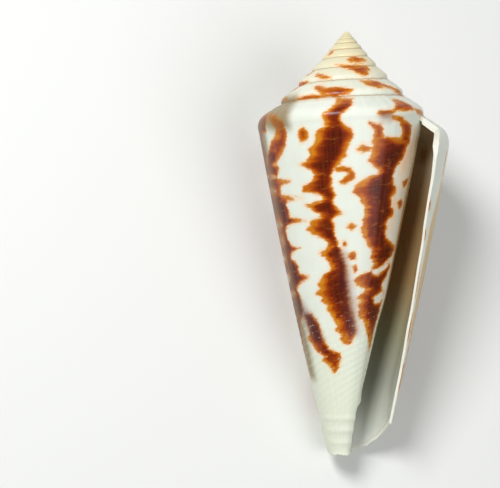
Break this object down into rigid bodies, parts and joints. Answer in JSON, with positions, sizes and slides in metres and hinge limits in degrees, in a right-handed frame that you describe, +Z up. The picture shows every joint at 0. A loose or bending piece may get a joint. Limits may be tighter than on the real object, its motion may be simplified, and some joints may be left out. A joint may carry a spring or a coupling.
{
  "type": "cone shell",
  "caption": "Slender cone-shaped sea snail shell with a pointed stepped spire, flame-like brown streaks and a long narrow aperture, lying on its back.",
  "frame": {"origin": "centre of the bounding box at its lowest level, on the surface the shell lies on", "axes": "+Z up from that surface, +Y along the shell's length from the base to the spire, +X towards the side of the outer lip"},
  "size_m": [0.0288, 0.064, 0.0269],
  "materials": {
    "shell": "porcelain-like aragonite, glossy white with broad chestnut-brown flames, dull grey-brown inside the aperture"
  },
  "bodies": {
    "root": {"shell": "shell"}
  },
  "joints": []
}
